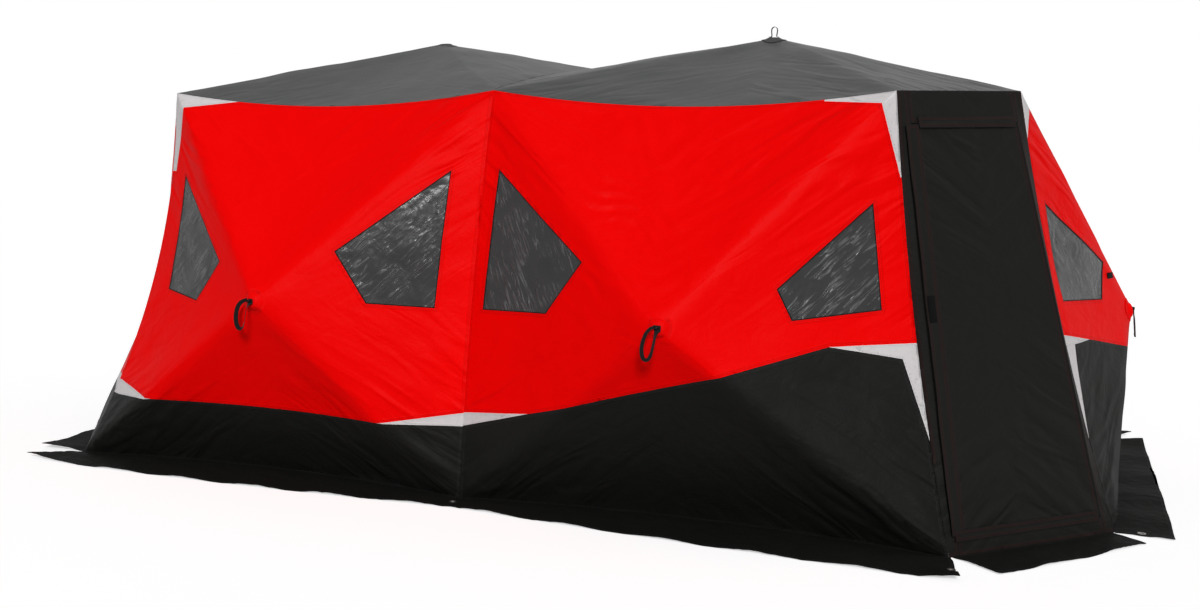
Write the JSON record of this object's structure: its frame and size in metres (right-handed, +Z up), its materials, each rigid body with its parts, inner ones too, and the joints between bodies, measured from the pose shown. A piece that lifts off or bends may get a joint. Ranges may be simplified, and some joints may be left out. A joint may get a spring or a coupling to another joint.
{
  "type": "pop-up ice fishing shelter",
  "caption": "Two-bay pop-up ice fishing shelter of insulated fabric over hubs and poles, with corner doors, windows and ground skirts.",
  "frame": {"origin": "on the ground at the middle of the floor plan", "axes": "+X along the long walls, -Y out of the front wall, +Z up"},
  "size_m": [5.0834, 2.9244, 2.0808],
  "materials": {
    "red_fabric": "woven, slight sheen",
    "black_fabric": "woven",
    "roof_fabric": "woven",
    "door_fabric": "woven",
    "skirt_fabric": "coated weave",
    "cap_fabric": "woven",
    "reflective_fabric": "retroreflective",
    "webbing": "woven tape",
    "clear_vinyl": "wrinkled, glossy",
    "pole": "smooth",
    "hub_plastic": "moulded",
    "eyelet": "satin"
  },
  "bodies": {
    "root": {"back_left_lower": "black_fabric", "back_left_upper": "red_fabric", "back_poles": "pole", "back_right_lower": "black_fabric", "back_right_upper": "red_fabric", "back_skirt": "skirt_fabric", "back_trim": "reflective_fabric", "back_windows": "clear_vinyl", "front_left_lower": "black_fabric", "front_left_upper": "red_fabric", "front_poles": "pole", "front_right_lower": "black_fabric", "front_right_upper": "red_fabric", "front_skirt": "skirt_fabric", "front_trim": "reflective_fabric", "front_windows": "clear_vinyl", "grommets": "eyelet", "hub_caps": "cap_fabric", "left_door_header": "door_fabric", "left_door_jambs": "door_fabric", "left_door_sill": "door_fabric", "left_door_skirt": "skirt_fabric", "left_end_lower": "black_fabric", "left_end_poles": "pole", "left_end_skirt": "skirt_fabric", "left_end_trim": "reflective_fabric", "left_end_upper": "red_fabric", "left_end_windows": "clear_vinyl", "pull_straps": "webbing", "right_door_header": "door_fabric", "right_door_jambs": "door_fabric", "right_door_sill": "door_fabric", "right_door_skirt": "skirt_fabric", "right_end_lower": "black_fabric", "right_end_poles": "pole", "right_end_skirt": "skirt_fabric", "right_end_trim": "reflective_fabric", "right_end_upper": "red_fabric", "right_end_windows": "clear_vinyl", "roof_hubs": "hub_plastic", "roof_left": "roof_fabric", "roof_loop": "webbing", "roof_poles": "pole", "roof_right": "roof_fabric", "wall_hubs": "hub_plastic"},
    "right_door": {"right_door_flap": "door_fabric"},
    "left_door": {"left_door_flap": "door_fabric"}
  },
  "joints": [
    {"name": "right_door_hinge", "type": "hinge", "parent": "root", "child": "right_door", "pos_m": [2.25759, -0.548, 0.06806], "axis": [-0.2296, 0.053, 0.9718], "range_deg": [0, 110]},
    {"name": "left_door_hinge", "type": "hinge", "parent": "root", "child": "left_door", "pos_m": [-2.25759, 0.548, 0.06806], "axis": [0.2296, -0.053, 0.9718], "range_deg": [0, 110]}
  ]
}
